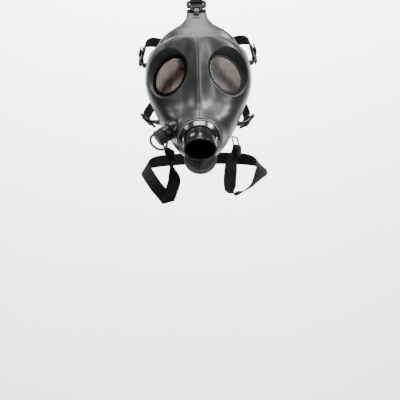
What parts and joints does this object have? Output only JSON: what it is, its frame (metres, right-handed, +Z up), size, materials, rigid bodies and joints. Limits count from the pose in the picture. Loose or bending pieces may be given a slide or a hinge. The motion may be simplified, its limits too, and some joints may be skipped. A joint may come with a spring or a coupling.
{
  "type": "gas mask style costume mask",
  "caption": "Black rubber full-face gas mask for costume: two tilted oval lenses, front spout, capped side port, five-strap harness and a neck strap.",
  "frame": {"origin": "centre of the wearer's head at eye height, where the harness and the facepiece hold the mask", "axes": "+Z up; the facepiece looks along -Y; +X is at the right of someone who faces the mask"},
  "size_m": [0.2014, 0.2783, 0.332],
  "materials": {
    "facepiece_rubber": "satin moulded rubber",
    "ribbed_rubber": "matt brown-black rubber with fine ribs",
    "gloss_plastic": "glossy black",
    "matt_plastic": "matt black",
    "smoked_lens": "clear smoked plastic",
    "webbing": "woven black webbing",
    "dark_wire": "darkened wire"
  },
  "bodies": {
    "root": {"face_piece": "facepiece_rubber", "lens_left": "smoked_lens", "lens_right": "smoked_lens", "port_collar": "gloss_plastic", "port_spout": "gloss_plastic", "port_seat": "matt_plastic", "chin_cover": "ribbed_rubber", "side_port_base": "gloss_plastic", "side_port_body": "gloss_plastic", "side_port_cap": "matt_plastic", "cap_tether": "matt_plastic", "top_buckle": "gloss_plastic", "temple_buckle_left": "gloss_plastic", "temple_buckle_right": "gloss_plastic", "jaw_buckle_left": "gloss_plastic", "jaw_buckle_right": "gloss_plastic", "top_strap": "webbing", "temple_strap_left": "webbing", "temple_strap_right": "webbing", "jaw_strap_left": "webbing", "jaw_strap_right": "webbing", "head_pad": "matt_plastic", "neck_strap": "webbing", "neck_ring": "dark_wire", "neck_hook": "dark_wire", "jaw_ring": "dark_wire"}
  },
  "joints": []
}
